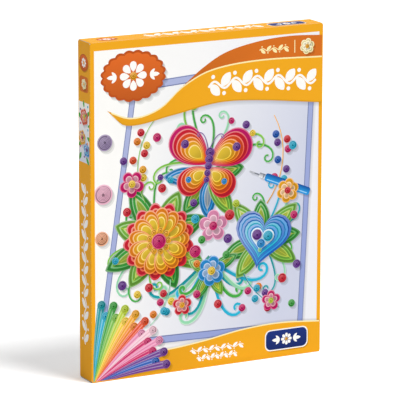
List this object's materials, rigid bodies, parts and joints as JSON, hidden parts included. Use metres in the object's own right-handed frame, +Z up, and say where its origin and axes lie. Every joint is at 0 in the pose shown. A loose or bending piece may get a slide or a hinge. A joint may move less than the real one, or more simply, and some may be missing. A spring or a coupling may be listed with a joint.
{
  "type": "craft kit box",
  "caption": "Slim upright folding carton for a paper craft kit, printed on its faces, closed by a tuck flap that hinges open along the back of its top.",
  "frame": {"origin": "middle of the bottom, on the surface that the box stands on", "axes": "+Z up along the height, +X to the right across the front, +Y from the front to the back"},
  "size_m": [0.282, 0.029, 0.37],
  "materials": {
    "printed_board": "varnished print on white folding board, satin",
    "raw_board": "bare grey-white inside and cut edges, matt"
  },
  "bodies": {
    "box": {"carton": "printed_board"},
    "flap": {"top_flap": "printed_board"}
  },
  "joints": [
    {"name": "flap_crease", "type": "hinge", "parent": "box", "child": "flap", "pos_m": [0, 0.0142, 0.3697], "axis": [-1, 0, 0], "range_deg": [0, 180]}
  ]
}
